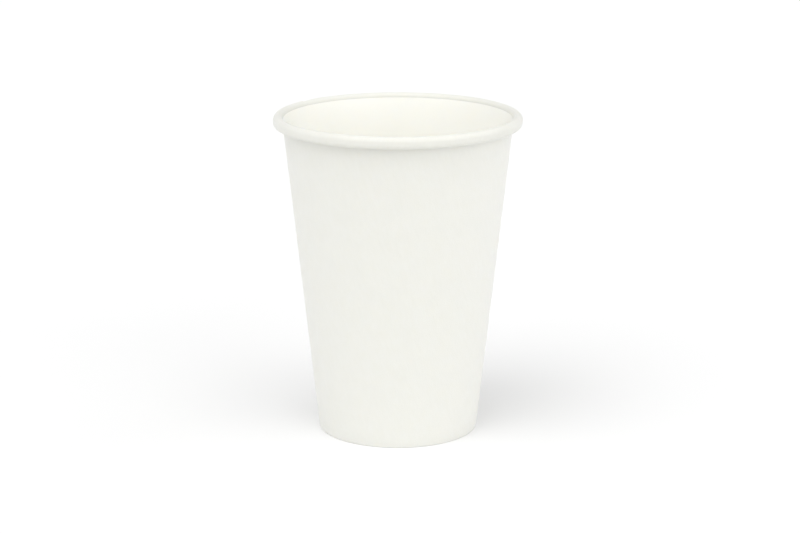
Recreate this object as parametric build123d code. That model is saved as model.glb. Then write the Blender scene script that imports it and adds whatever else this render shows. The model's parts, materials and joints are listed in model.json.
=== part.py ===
from build123d import *
import os
from math import acos, atan2, cos, degrees, hypot, radians, sin, tan

# A paper coffee cup is two boards. The side wall is a fan-shaped blank wrapped into a cone: its ends
# lap and are heat-sealed in a side seam, its top edge is rolled outwards into the rim, and its bottom
# edge is folded up inside the foot. The base is a disc drawn into a shallow tray whose skirt is held
# between the wall and that folded edge. Millimetres and degrees; +Z is up and z = 0 is the table.

# Overall sizes
cup_height = 117.0          # table to the top of the rolled rim
rim_outer_radius = 45.0     # outside of the rolled rim, which a 90 mm lid snaps over
foot_outer_radius = 29.0    # where the line of the wall's outer face meets the table

# Boards
wall_board = 0.38           # thickness of the side wall's board
base_board = 0.30           # thickness of the base disc's board

# Rolled rim
curl_width = 3.6            # from the wall's inner face to the outside of the rim
curl_side = 1.05            # upright outer side between the curl's top and bottom arcs
curl_gap = 0.10             # least air between two turns of the curl
curl_tail_turn = 50.0       # how far the hidden end of the curl bends over inside it

# Side seam
seam_angle = 145.0          # where the blank's inner end lies, counted from +X
lap_turn = 11.0             # angle that the two ends of the blank share
lap_press = 0.8             # share of its thickness that each board keeps in the sealed lap
ramp_turn = 9.0             # angle over which the outer end climbs onto the inner one
ramp_steps = 3              # straight stretches that the climb is made of

# Foot
base_height = 8.0           # table to the underside of the base panel
base_corner_radius = 0.9    # outside radius where the base panel turns down into its skirt
bare_skirt = 0.5            # height of skirt that shows between the folded edge and that corner
skirt_gap = 0.15            # air between the skirt's cut edge and the bottom of the fold
fold_inner_radius = 0.05    # inside radius of the fold's two corners

# The wall's outer face starts at the foot and runs tangent into the curl, which sets its slope
curl_radius = curl_width / 2
curl_centre = Vector(rim_outer_radius - curl_radius, 0, cup_height - curl_radius)
foot_to_curl = hypot(curl_centre.X - foot_outer_radius, curl_centre.Z)
climb = atan2(curl_centre.Z, curl_centre.X - foot_outer_radius)
slope = degrees(acos((curl_radius - wall_board) / foot_to_curl) - climb)
slope_sin, slope_cos, slope_tan = sin(radians(slope)), cos(radians(slope)), tan(radians(slope))
up_wall = 90 - slope
down_wall = -90 - slope

# In the lap both boards are pressed together, and the outer one stands this much further out
lap_thickness = 2 * lap_press * wall_board
lap_step = lap_thickness - wall_board

# The base panel turns down into its skirt here, and the folded edge ends just below that corner
corner_height = base_height + base_board - base_corner_radius
skirt_top = corner_height - base_corner_radius * slope_sin
fold_height = skirt_top - bare_skirt


def heading_vector(angle):
    return Vector(cos(radians(angle)), 0, sin(radians(angle)))


def wall_face_radius(height):
    """Radius of the side wall's inner face at a height."""
    return foot_outer_radius - wall_board / slope_cos + height * slope_tan


def trace(path, offset):
    """Edges that keep a distance to the right of a path, which is a start, a heading and moves.

    A move is (length,) for a straight run, or (radius, turn) for a tangent arc, positive to the left.
    """
    start, heading, moves = path
    here = start + heading_vector(heading - 90) * offset
    edges = []
    for move in moves:
        if len(move) == 1:
            there = here + heading_vector(heading) * move[0]
            edges.append(Edge.make_line(here, there))
        else:
            radius, turn = move
            side = 1 if turn > 0 else -1
            reach = radius + side * offset
            centre = here + heading_vector(heading + side * 90) * reach
            middle = centre - heading_vector(heading + side * 90 + turn / 2) * reach
            there = centre - heading_vector(heading + side * 90 + turn) * reach
            edges.append(Edge.make_three_point_arc(here, middle, there))
            heading += turn
        here = there
    return edges


def board_section(path, near, far):
    """The section of a board whose two faces keep near and far to the right of a path."""
    near_face, far_face = trace(path, near), trace(path, far)
    end = Edge.make_line(near_face[-1] @ 1, far_face[-1] @ 1)
    start = Edge.make_line(far_face[0] @ 0, near_face[0] @ 0)
    return Face(Wire(near_face + [end] + far_face[::-1] + [start]))


def wall_path(fold_floor):
    """The wall's inner face, from its folded edge round the foot, up the wall and round the curl.

    The inside of the fold lies at fold_floor, so that a board of that thickness stands on the table.
    """
    fold_start = Vector(wall_face_radius(fold_height) - base_board / slope_cos, 0, fold_height)
    fold_leg = (fold_height - fold_floor - fold_inner_radius * (1 + slope_sin)) / slope_cos
    fold_land = (base_board - 2 * fold_inner_radius) / slope_cos
    wall_top = curl_centre.Z + curl_radius * slope_sin
    wall_leg = (wall_top - fold_floor - fold_inner_radius * (1 - slope_sin)) / slope_cos
    tail_radius = curl_radius - lap_thickness - curl_gap
    return fold_start, down_wall, [
        (fold_leg,),
        (fold_inner_radius, 90 + slope),
        (fold_land,),
        (fold_inner_radius, up_wall),
        (wall_leg,),
        (curl_radius, slope - 180),
        (curl_side,),
        ((curl_radius + tail_radius) / 2, -180),
        (curl_side,),
        (tail_radius, -curl_tail_turn),
    ]


def turned(angle, section):
    return Rot(0, 0, angle) * section


def climbing_section(share):
    """The outer end's section where it has climbed this share of the way onto the inner end."""
    lift = lap_step * share
    angle = seam_angle - ramp_turn * (1 - share)
    return turned(angle, board_section(wall_path(wall_board + lift), lift, lift + wall_board))


def make_side_wall():
    """One board, once round and lapped: the single ring, the sealed lap and the climb onto it."""
    single_board = board_section(wall_path(wall_board), 0, wall_board)
    sealed_lap = board_section(wall_path(lap_thickness), 0, lap_thickness)
    ring = revolve(turned(seam_angle + lap_turn, single_board), Axis.Z, 360 - lap_turn - ramp_turn)
    lap = revolve(turned(seam_angle, sealed_lap), Axis.Z, lap_turn)
    wall = ring + lap
    for step in range(ramp_steps):
        ends = climbing_section(step / ramp_steps), climbing_section((step + 1) / ramp_steps)
        wall += loft(ends, ruled=True)
    return wall


def make_base_disc():
    """The base panel, its rounded edge and the skirt that lies against the wall's inner face."""
    panel_radius = wall_face_radius(corner_height) - base_corner_radius / slope_cos
    skirt_leg = (skirt_top - lap_thickness - skirt_gap) / slope_cos
    outer_face = Vector(0, 0, base_height + base_board), 0, [
        (panel_radius,),
        (base_corner_radius, down_wall),
        (skirt_leg,),
    ]
    return revolve(board_section(outer_face, 0, base_board), Axis.Z)


os.makedirs("parts", exist_ok=True)
export_step(make_side_wall(), "parts/side_wall.step")
export_step(make_base_disc(), "parts/base_disc.step")
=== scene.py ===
import json
import math

import bpy
import numpy as np
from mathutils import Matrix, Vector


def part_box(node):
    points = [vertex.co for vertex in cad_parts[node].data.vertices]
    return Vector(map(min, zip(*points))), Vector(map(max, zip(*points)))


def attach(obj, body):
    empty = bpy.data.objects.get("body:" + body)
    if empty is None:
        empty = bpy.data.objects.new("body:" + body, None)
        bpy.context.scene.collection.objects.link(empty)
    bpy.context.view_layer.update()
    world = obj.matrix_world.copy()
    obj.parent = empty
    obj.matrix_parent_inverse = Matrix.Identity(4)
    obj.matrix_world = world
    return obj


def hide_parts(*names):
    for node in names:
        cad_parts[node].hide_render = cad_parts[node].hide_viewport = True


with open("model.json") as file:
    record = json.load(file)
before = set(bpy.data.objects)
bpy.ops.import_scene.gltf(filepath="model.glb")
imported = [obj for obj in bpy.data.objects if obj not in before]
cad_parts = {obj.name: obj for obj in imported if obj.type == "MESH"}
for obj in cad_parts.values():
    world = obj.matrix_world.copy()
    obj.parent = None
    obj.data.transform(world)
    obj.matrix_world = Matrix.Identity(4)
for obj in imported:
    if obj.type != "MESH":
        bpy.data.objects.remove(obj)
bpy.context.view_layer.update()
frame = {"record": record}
mm = 0.001
sharpFrom = 40    # degrees between two faces that meet in a hard edge

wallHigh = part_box("side_wall")[1]
baseLow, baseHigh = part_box("base_disc")
footMount = next(m for m in frame["record"]["mounts"] if m["name"] == "foot")
print("frame loaded: cup is", round(wallHigh.z / mm, 1), "mm tall")


def smoothStep(low, high, value):
    t = np.clip((value - low) / (high - low), 0, 1)
    return t * t * (3 - 2 * t)


def headingOf(angle):
    return np.array([math.cos(angle), math.sin(angle)])


def tracePath(start, heading, moves):
    # Points along straight runs (length, steps) and tangent arcs (radius, turn, steps), with the
    # direction to the right of travel at each point. Turns are in radians, positive to the left.
    points, rights = [np.array(start, float)], [headingOf(heading - math.pi / 2)]
    for move in moves:
        if len(move) == 2:
            length, steps = move
            for step in range(steps):
                points.append(points[-1] + headingOf(heading) * length / steps)
                rights.append(headingOf(heading - math.pi / 2))
        else:
            radius, turn, steps = move
            side = 1 if turn > 0 else -1
            centre = points[-1] + headingOf(heading + side * math.pi / 2) * radius
            for step in range(steps):
                heading += turn / steps
                points.append(centre - headingOf(heading + side * math.pi / 2) * radius)
                rights.append(headingOf(heading - math.pi / 2))
    return np.array(points), np.array(rights)


def polar(radius, angle, height):
    return np.stack([radius * np.cos(angle), radius * np.sin(angle), height], axis=-1)


insideSlot, outsideSlot, cutSlot, rimShadeSlot = range(4)    # places of the papers on both pieces


def meshFromGrids(name, leftSkin, rightSkin, flat, leftPapers, wrap, pole):
    # leftSkin and rightSkin are [station, point, xyz] grids of a board's two faces, and flat holds
    # each grid point's place on the unrolled blank. leftPapers is the left face's material slot from
    # each point to the next. The cut edges close the board into one solid.
    stations, count = leftSkin.shape[:2]
    vertices = np.concatenate([leftSkin.reshape(-1, 3), rightSkin.reshape(-1, 3)])
    places = np.concatenate([flat.reshape(-1, 2), flat.reshape(-1, 2)])
    index = np.arange(stations * count).reshape(stations, count)
    lastStation = stations if wrap else stations - 1
    here = index[np.arange(lastStation)]
    there = index[(np.arange(lastStation) + 1) % stations]
    shift = stations * count
    left = np.stack([here[:, :-1], here[:, 1:], there[:, 1:], there[:, :-1]], axis=-1).reshape(-1, 4)
    right = left[:, ::-1] + shift
    faces, slots = [left, right], [np.tile(leftPapers, lastStation), np.full(len(right), outsideSlot)]

    def addEdge(a, b, flip):
        strip = np.stack([a, b, b + shift, a + shift], axis=-1)
        strip = strip[:, ::-1] if flip else strip
        faces.append(strip)
        slots.append(np.full(len(strip), cutSlot))

    if not pole:
        addEdge(here[:, 0], there[:, 0], False)
    addEdge(here[:, -1], there[:, -1], True)
    if not wrap:
        addEdge(index[0, :-1], index[0, 1:], True)
        addEdge(index[-1, :-1], index[-1, 1:], False)
    quads = [tuple(int(i) for i in face) for group in faces for face in group]
    materials = np.concatenate(slots).tolist()
    if pole:
        # the middle of a disc, where the grid's first ring closes onto one point on each face
        for skin, first in ((leftSkin, 0), (rightSkin, shift)):
            vertices = np.vstack([vertices, skin[:, 0].mean(axis=0)])
            places = np.vstack([places, [0, 0]])
            middle = len(vertices) - 1
            for a, b in zip(here[:, 0] + first, there[:, 0] + first):
                corner = (int(b), int(a), middle) if first else (int(a), int(b), middle)
                quads.append(corner)
                materials.append(outsideSlot if first else insideSlot)
    mesh = bpy.data.meshes.new(name)
    mesh.from_pydata(vertices.tolist(), [], quads)
    mesh.polygons.foreach_set("material_index", materials)
    corners = np.zeros(len(mesh.loops), int)
    mesh.loops.foreach_get("vertex_index", corners)
    blank = mesh.uv_layers.new(name="blank")
    blank.data.foreach_set("uv", places[corners].ravel())
    mesh.polygons.foreach_set("use_smooth", [True] * len(mesh.polygons))
    mesh.set_sharp_from_angle(angle=math.radians(sharpFrom))
    mesh.update()
    piece = bpy.data.objects.new(name, mesh)
    bpy.context.scene.collection.objects.link(piece)
    return piece


sideWall = {
    "footLip": 0.47 * mm,        # from the middle of the foot's land out to the wall's outer face
    "board": 0.38 * mm,          # the paperboard
    "skirtSlot": 0.30 * mm,      # room inside the fold for the base's skirt
    "foldCorner": 0.05 * mm,     # inside radius of the fold's corners
    "bareSkirt": 1.5 * mm,       # from the top of the base panel down to the folded edge
    "curlWidth": 3.6 * mm,       # from the wall's inner face to the outside of the rim
    "curlSide": 1.05 * mm,       # upright side of the rim
    "curlGap": 0.10 * mm,        # air between two turns of the curl
    "curlTail": 50.0,            # degrees that the hidden end bends over inside the curl
    "seamAngle": 145.0,          # the blank's inner end, in degrees from +X
    "lapTurn": 11.0,             # degrees that the two ends share
    "rampTurn": 9.0,             # degrees in which the outer end climbs onto the inner one
    "settleTurn": 2.5,           # degrees in which the inner end's fold comes down to the table
    "sealed": 0.8,               # share of its thickness that a board keeps in the sealed lap
    "sealFilm": 0.006 * mm,      # between the two boards of the lap
    "knurls": 108,               # ribs pressed into the folded edge
    "knurlDepth": 0.12 * mm,
    "knurlStart": (0.3 * mm, 0.9 * mm),     # along the fold, where the ribs rise to full depth
    "knurlEnd": (5.2 * mm, 5.9 * mm),       # and where they run out
    "wander": 0.10 * mm,         # how far the wall strays from a true cone
    "waves": (                   # waves round the wall, where each starts in radians, and its share
        (2, 0.6, 0.45),
        (3, 2.1, 0.25),
        (5, 4.0, 0.15),
        (8, 1.2, 0.08),
        (13, 5.1, 0.05),
    ),
    "rippleShare": 0.12,         # a fainter ripple up the wall
    "rippleHeight": 9.7 * mm,
    "rippleTwist": 3,
    "coarseTurn": 2 / 3,         # degrees between sections
    "fineTurn": 0.4,             # the same, near the seam
}


def wallSections(spec):
    # every section of the blank from its inner end to its outer one: angle, lift off the cone,
    # thickness, and the height of the fold's inside
    seam, lap, ramp = spec["seamAngle"], spec["lapTurn"], spec["rampTurn"]
    lapBoard = spec["sealed"] * spec["board"]
    single = np.arange(seam + lap + spec["settleTurn"], seam + 360 - ramp, spec["coarseTurn"])
    start = np.arange(seam, seam + lap + spec["settleTurn"], spec["fineTurn"])
    end = np.linspace(seam + 360 - ramp, seam + 360 + lap, int((ramp + lap) / spec["fineTurn"]) + 1)
    angle = np.concatenate([start, single, end])
    under = 1 - smoothStep(seam + lap, seam + lap + spec["settleTurn"], angle)
    over = smoothStep(seam + 360 - ramp, seam + 360, angle)
    thickness = spec["board"] - (spec["board"] - lapBoard + spec["sealFilm"] / 2) * (under + over)
    lift = (lapBoard + spec["sealFilm"] / 2) * over
    foldFloor = spec["board"] + (2 * lapBoard - spec["board"]) * (under + over)
    return np.radians(angle), lift, thickness, foldFloor


def wander(spec, angle, height):
    # a slow inward waviness of the formed cone, nothing at the foot
    total = sum(share * (1 + math.cos(n * angle + phase)) / 2 for n, phase, share in spec["waves"])
    grow = smoothStep(baseHigh.z, wallHigh.z, height)
    middle = spec["rippleShare"] * np.sin(math.pi * grow)
    ripple = middle * np.sin(height / spec["rippleHeight"] + spec["rippleTwist"] * angle)
    return -spec["wander"] * (grow * total + ripple + middle)


def makeSideWall(spec):
    curl = spec["curlWidth"] / 2
    curlCentre = np.array([wallHigh.x - curl, wallHigh.z - curl])
    footRadius = footMount["pos_m"][0] + spec["footLip"]
    toCurl = curlCentre - (footRadius, 0)
    slope = math.acos((curl - spec["board"]) / np.hypot(*toCurl)) - math.atan2(toCurl[1], toCurl[0])
    rise, run = math.cos(slope), math.sin(slope)
    foldTop = baseHigh.z - spec["bareSkirt"]
    tail = curl - 2 * spec["sealed"] * spec["board"] - spec["curlGap"]
    startRadius = footRadius - spec["board"] / rise + foldTop * run / rise - spec["skirtSlot"] / rise
    corner = spec["foldCorner"]
    angles, lifts, boards, floors = wallSections(spec)
    leftSkin, rightSkin, flat = [], [], []
    apex = footRadius / run
    for angle, lift, board, floor in zip(angles, lifts, boards, floors):
        moves = [
            ((foldTop - floor - corner * (1 + run)) / rise, 9),
            (corner, math.pi / 2 + slope, 4),
            ((spec["skirtSlot"] - 2 * corner) / rise, 1),
            (corner, math.pi / 2 - slope, 4),
            ((curlCentre[1] + curl * run - floor - corner * (1 - run)) / rise, 22),
            (curl, slope - math.pi, 16),
            (spec["curlSide"], 2),
            ((curl + tail) / 2, -math.pi, 10),
            (spec["curlSide"], 1),
            (tail, -math.radians(spec["curlTail"]), 3),
        ]
        points, rights = tracePath((startRadius, foldTop), -math.pi / 2 - slope, moves)
        along = np.concatenate([[0], np.cumsum(np.hypot(*np.diff(points, axis=0).T))])
        knurl = smoothStep(*spec["knurlStart"], along) * (1 - smoothStep(*spec["knurlEnd"], along))
        pressed = spec["knurlDepth"] * knurl * (0.5 + 0.5 * math.cos(spec["knurls"] * angle))
        inner = points + rights * lift
        outer = points + rights * (lift + board - pressed)[:, None]
        for skin, grid in ((inner, leftSkin), (outer, rightSkin)):
            stray = wander(spec, angle, skin[:, 1])
            grid.append(polar(skin[:, 0] + stray, angle, skin[:, 1]))
        turn = (angle - math.radians(spec["seamAngle"])) * run
        reach = apex + along - along[-1] / 2
        flat.append(np.stack([reach * math.sin(turn), reach * math.cos(turn) - apex], axis=-1))
    steps = [move[-1] for move in moves]
    toRim = 5    # the moves before the rolled rim
    # the rolled rim takes the darker rim paper, painted shade
    papers = np.repeat([insideSlot, rimShadeSlot], [sum(steps[:toRim]), sum(steps[toRim:])])
    return meshFromGrids(
        "cup_wall", np.array(leftSkin), np.array(rightSkin), np.array(flat), papers, False, False
    )


baseDisc = {
    "board": 0.28 * mm,
    "corner": 0.9 * mm,          # outside radius where the panel turns down into its skirt
    "dish": 0.22 * mm,           # how far the panel's middle sinks
    "pleats": 96,                # fine gathers round the corner
    "pleatDepth": 0.05 * mm,
    "gatherIn": 1.6 * mm,        # how far in from the panel's edge the gathers begin
    "gatherOut": 0.4 * mm,       # and how far past it they are full
    "hub": 1.0 * mm,             # radius of the panel's first ring
    "fitGap": 0.01 * mm,         # between the skirt and the wall
    "turn": 1.0,                 # degrees between sections
}


def makeBaseDisc(spec, slope):
    # the panel from its middle outwards, round the corner and down the skirt
    rise, run = math.cos(slope), math.sin(slope)
    cornerHeight = baseHigh.z - spec["corner"]
    skirtTop = cornerHeight - spec["corner"] * run
    panel = baseHigh.x - spec["fitGap"] - spec["corner"]
    skirt = (skirtTop - baseLow.z) / rise
    moves = [
        (panel - spec["hub"], 30),
        (spec["corner"], -math.pi / 2 - slope, 12),
        (skirt, 10),
    ]
    points, rights = tracePath((spec["hub"], baseHigh.z), 0, moves)
    along = spec["hub"] + np.concatenate([[0], np.cumsum(np.hypot(*np.diff(points, axis=0).T))])
    sink = spec["dish"] * (1 - smoothStep(0, panel, points[:, 0]))
    gathered = smoothStep(panel - spec["gatherIn"], panel + spec["gatherOut"], along)
    leftSkin, rightSkin, flat = [], [], []
    for angle in np.radians(np.arange(0, 360, spec["turn"])):
        uneven = 0.6 + 0.4 * math.sin(7 * angle + 1.0) * math.cos(11 * angle)
        pleat = spec["pleatDepth"] * gathered * uneven * (0.5 + 0.5 * math.cos(spec["pleats"] * angle))
        for offset, grid in ((0, leftSkin), (spec["board"], rightSkin)):
            skin = points + rights * (offset + pleat)[:, None]
            grid.append(polar(skin[:, 0], angle, skin[:, 1] - sink))
        flat.append(np.stack([along * math.cos(angle), along * math.sin(angle)], axis=-1))
    papers = np.full(len(points) - 1, insideSlot)
    return meshFromGrids(
        "cup_base", np.array(leftSkin), np.array(rightSkin), np.array(flat), papers, True, True
    )


def newGroup(name, inputs, outputs):
    group = bpy.data.node_groups.new(name, "ShaderNodeTree")
    for label, kind, value in inputs:
        socket = group.interface.new_socket(name=label, in_out="INPUT", socket_type=kind)
        if value is not None:
            socket.default_value = value
    for label, kind in outputs:
        group.interface.new_socket(name=label, in_out="OUTPUT", socket_type=kind)
    return group, group.nodes.new("NodeGroupInput"), group.nodes.new("NodeGroupOutput")


def addNode(tree, kind, settings=None, values=None):
    node = tree.nodes.new(kind)
    for key, value in (settings or {}).items():
        setattr(node, key, value)
    for key, value in (values or {}).items():
        node.inputs[key].default_value = value
    return node


def addMath(tree, operation, a, b=None):
    node = addNode(tree, "ShaderNodeMath", {"operation": operation})
    for socket, value in zip(node.inputs, (a, b)):
        if isinstance(value, (int, float)):
            socket.default_value = value
        elif value is not None:
            tree.links.new(value, socket)
    return node.outputs[0]


def makeFibreGroup():
    # cloudy formation of the sheet, and the fibres in it, which lie mostly one way on the flat blank
    group, given, out = newGroup(
        "boardFibres",
        [
            ("Blank", "NodeSocketVector", None),
            ("Board", "NodeSocketColor", (0.86, 0.85, 0.79, 1)),
            ("Thin", "NodeSocketColor", (0.8, 0.78, 0.7, 1)),
            ("Cloud Size", "NodeSocketFloat", 160.0),
            ("Fibre Size", "NodeSocketFloat", 900.0),
            ("Cloudiness", "NodeSocketFloat", 0.3),
            ("Fibre Show", "NodeSocketFloat", 0.2),
        ],
        [("Color", "NodeSocketColor"), ("Fibres", "NodeSocketFloat")],
    )
    links = group.links
    stretch = addNode(group, "ShaderNodeMapping", None, {
        "Scale": (1.0, 0.22, 1.0), "Rotation": (0, 0, 0.35),    # fibres longer than wide, a little askew
    })
    links.new(given.outputs["Blank"], stretch.inputs["Vector"])
    cloud = addNode(group, "ShaderNodeTexNoise", None, {"Detail": 4.0, "Roughness": 0.55})
    links.new(given.outputs["Blank"], cloud.inputs["Vector"])
    links.new(given.outputs["Cloud Size"], cloud.inputs["Scale"])
    fibre = addNode(group, "ShaderNodeTexNoise", None, {
        "Detail": 3.0, "Roughness": 0.6, "Distortion": 0.4,
    })
    links.new(stretch.outputs["Vector"], fibre.inputs["Vector"])
    links.new(given.outputs["Fibre Size"], fibre.inputs["Scale"])
    cloudShare = addMath(group, "MULTIPLY", cloud.outputs["Fac"], given.outputs["Cloudiness"])
    fibreShare = addMath(group, "MULTIPLY", fibre.outputs["Fac"], given.outputs["Fibre Show"])
    share = addMath(group, "ADD", cloudShare, fibreShare)
    mix = addNode(group, "ShaderNodeMix", {"data_type": "RGBA"})
    links.new(share, mix.inputs["Factor"])
    links.new(given.outputs["Board"], mix.inputs["A"])
    links.new(given.outputs["Thin"], mix.inputs["B"])
    links.new(mix.outputs["Result"], out.inputs["Color"])
    links.new(fibre.outputs["Fac"], out.inputs["Fibres"])
    return group


def makeToothGroup():
    # the fine tooth of the board's surface and its slow cockle, as one height
    group, given, out = newGroup(
        "boardTooth",
        [
            ("Blank", "NodeSocketVector", None),
            ("Tooth Size", "NodeSocketFloat", 2600.0),
            ("Cockle Size", "NodeSocketFloat", 120.0),
            ("Tooth", "NodeSocketFloat", 0.35),
            ("Cockle", "NodeSocketFloat", 1.0),
        ],
        [("Height", "NodeSocketFloat")],
    )
    links = group.links
    tooth = addNode(group, "ShaderNodeTexNoise", None, {"Detail": 2.0, "Roughness": 0.5})
    cockle = addNode(group, "ShaderNodeTexNoise", None, {"Detail": 1.0, "Roughness": 0.4})
    for noise, size in ((tooth, "Tooth Size"), (cockle, "Cockle Size")):
        links.new(given.outputs["Blank"], noise.inputs["Vector"])
        links.new(given.outputs[size], noise.inputs["Scale"])
    small = addMath(group, "MULTIPLY", tooth.outputs["Fac"], given.outputs["Tooth"])
    large = addMath(group, "MULTIPLY", cockle.outputs["Fac"], given.outputs["Cockle"])
    links.new(addMath(group, "ADD", small, large), out.inputs["Height"])
    return group


fibreGroup = makeFibreGroup()
toothGroup = makeToothGroup()

outsideFinish = {
    "board": (0.784, 0.785, 0.752, 1), "thin": (0.736, 0.735, 0.686, 1),
    "cloudiness": 0.42, "fibreShow": 0.58, "roughness": (0.5, 0.66), "bump": 0.06 * mm,
    "tooth": 0.8, "cockle": 0.9, "specular": 0.35, "coat": 0.0,
}
# the coated inside: a little warmer than the outside, and painted much lighter than the outside paper,
# as painted light standing in for light falling into the cup
insideCoatAndLightFinish = {
    "board": (0.966, 0.959, 0.89, 1), "thin": (0.955, 0.946, 0.868, 1),
    "cloudiness": 0.5, "fibreShow": 0.3, "roughness": (0.34, 0.46), "bump": 0.05 * mm,
    "tooth": 0.3, "cockle": 0.9, "specular": 0.5, "coat": 0.25,
}
# the rolled rim is the inside's coated face turned outward, given a darker copy of that paper: the
# darkness is painted shade on the rim's bead
rimShadedFinish = {
    "board": (0.757, 0.756, 0.716, 1), "thin": (0.692, 0.69, 0.64, 1),
    "cloudiness": 0.4, "fibreShow": 0.5, "roughness": (0.4, 0.52), "bump": 0.06 * mm,
    "tooth": 0.5, "cockle": 0.8, "specular": 0.45, "coat": 0.15,
}
cutFinish = {
    "board": (0.84, 0.82, 0.73, 1), "thin": (0.73, 0.69, 0.58, 1),
    "cloudiness": 0.5, "fibreShow": 0.7, "roughness": (0.8, 0.95), "bump": 0.06 * mm,
    "tooth": 1.0, "cockle": 0.2, "specular": 0.2, "coat": 0.0,
}
lightReach = 0.15 * mm    # how far light spreads in the board


def makePaper(name, finish):
    material = bpy.data.materials.new(name)
    material.use_nodes = True
    tree = material.node_tree
    tree.nodes.clear()
    links = tree.links
    shader = addNode(tree, "ShaderNodeBsdfPrincipled", None, {
        "IOR": 1.47, "Specular IOR Level": finish["specular"],
        "Coat Weight": finish["coat"], "Coat Roughness": 0.28,
        "Subsurface Weight": 1.0, "Subsurface Radius": (1.0, 0.96, 0.88), "Subsurface Scale": lightReach,
    })
    out = addNode(tree, "ShaderNodeOutputMaterial")
    blank = addNode(tree, "ShaderNodeUVMap", {"uv_map": "blank"})
    fibres = addNode(tree, "ShaderNodeGroup", {"node_tree": fibreGroup}, {
        "Board": finish["board"], "Thin": finish["thin"],
        "Cloudiness": finish["cloudiness"], "Fibre Show": finish["fibreShow"],
    })
    tooth = addNode(tree, "ShaderNodeGroup", {"node_tree": toothGroup}, {
        "Tooth": finish["tooth"], "Cockle": finish["cockle"],
    })
    rough = addNode(tree, "ShaderNodeMapRange", None, {
        "To Min": finish["roughness"][0], "To Max": finish["roughness"][1],
    })
    bump = addNode(tree, "ShaderNodeBump", None, {"Distance": finish["bump"], "Strength": 1.0})
    for effect in (fibres, tooth):
        links.new(blank.outputs["UV"], effect.inputs["Blank"])
    links.new(fibres.outputs["Color"], shader.inputs["Base Color"])
    links.new(fibres.outputs["Fibres"], rough.inputs["Value"])
    links.new(rough.outputs["Result"], shader.inputs["Roughness"])
    links.new(tooth.outputs["Height"], bump.inputs["Height"])
    links.new(bump.outputs["Normal"], shader.inputs["Normal"])
    links.new(shader.outputs["BSDF"], out.inputs["Surface"])
    return material


insideCoatAndLightPaper = makePaper("coatedInsideAndPaintedLight", insideCoatAndLightFinish)
outsidePaper = makePaper("plainOutside", outsideFinish)
cutPaper = makePaper("cutEdge", cutFinish)
rimShadedPaper = makePaper("rolledRimPaintedShade", rimShadedFinish)

cupWall = makeSideWall(sideWall)
wallSlope = math.atan((wallHigh.x - sideWall["curlWidth"] - baseHigh.x) / (wallHigh.z - baseHigh.z))
cupBase = makeBaseDisc(baseDisc, wallSlope)
for piece, node, slot in ((cupWall, "side_wall", "wall_board"), (cupBase, "base_disc", "base_board")):
    for paper in (insideCoatAndLightPaper, outsidePaper, cutPaper, rimShadedPaper):
        piece.data.materials.append(paper)
    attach(piece, "root")
    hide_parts(node)
    print(piece.name, "made with", len(piece.data.polygons), "faces")


studio = {
    "floorSize": 14.0,
    "floorColor": (0.74, 0.74, 0.74, 1),    # a shooting table, lit a little from below
    "floorGlow": 0.115,
    "skyColor": (1.0, 1.0, 1.0, 1),
    "skyLight": 0.55,                    # what the room gives to the scene
    "skySeen": 1.0,                      # and how bright it looks beyond the table
    "softboxes": {
        # degrees round from the camera to the right, degrees up, width in degrees, strength
        "topPanel": (-12.0, 75.0, 50.0, 0.59),
        "topLeft": (-40.0, 60.0, 45.0, 0.68),
        "rightWide": (68.0, 28.0, 90.0, 0.96),
        "leftWide": (-68.0, 28.0, 90.0, 0.55),
        "rightFront": (35.0, 20.0, 50.0, 0.47),
        "leftFront": (-35.0, 20.0, 50.0, 0.25),
    },
}


def makeFloor(spec):
    bpy.ops.mesh.primitive_plane_add(size=spec["floorSize"])
    floor = bpy.context.object
    floor.name = "studioFloor"
    material = bpy.data.materials.new("floorPaper")
    material.use_nodes = True
    shader = material.node_tree.nodes["Principled BSDF"]
    shader.inputs["Base Color"].default_value = spec["floorColor"]
    shader.inputs["Roughness"].default_value = 0.9
    shader.inputs["Specular IOR Level"].default_value = 0.1
    shader.inputs["Emission Color"].default_value = spec["skyColor"]
    shader.inputs["Emission Strength"].default_value = spec["floorGlow"]
    floor.data.materials.append(material)


def makeRoom(spec):
    world = bpy.data.worlds.new("studioWorld")
    world.use_nodes = True
    tree = world.node_tree
    lit = tree.nodes["Background"]
    seen = addNode(tree, "ShaderNodeBackground", None, {
        "Color": spec["skyColor"], "Strength": spec["skySeen"],
    })
    lit.inputs["Color"].default_value = spec["skyColor"]
    lit.inputs["Strength"].default_value = spec["skyLight"]
    path = addNode(tree, "ShaderNodeLightPath")
    choose = addNode(tree, "ShaderNodeMixShader")
    tree.links.new(path.outputs["Is Camera Ray"], choose.inputs["Fac"])
    tree.links.new(lit.outputs["Background"], choose.inputs[1])
    tree.links.new(seen.outputs["Background"], choose.inputs[2])
    tree.links.new(choose.outputs["Shader"], tree.nodes["World Output"].inputs["Surface"])
    bpy.context.scene.world = world


def makeSoftboxes(spec):
    for name, (aside, up, width, strength) in spec["softboxes"].items():
        light = bpy.data.lights.new(name, "SUN")
        light.energy = strength
        light.angle = math.radians(width)
        lamp = bpy.data.objects.new(name, light)
        lamp.rotation_euler = (math.radians(90 - up), 0, math.radians(aside))
        bpy.context.scene.collection.objects.link(lamp)


makeFloor(studio)
makeRoom(studio)
makeSoftboxes(studio)

camera = {
    "distance": 0.839,           # from the cup's axis, level
    "height": 0.2754,            # above the table
    "aside": 0.00077,
    "pitch": 14.39,              # degrees below level
    "lens": 106.47,              # on a 36 mm sensor
}

lens = bpy.data.cameras.new("cupCamera")
lens.lens = camera["lens"]
lens.sensor_width = 36.0
lens.clip_start = 0.01
view = bpy.data.objects.new("cupCamera", lens)
view.location = (camera["aside"], -camera["distance"], camera["height"])
view.rotation_euler = (math.radians(90 - camera["pitch"]), 0, 0)
bpy.context.scene.collection.objects.link(view)
bpy.context.scene.camera = view
bpy.context.scene.view_settings.view_transform = "Standard"
print("camera and lights in place")
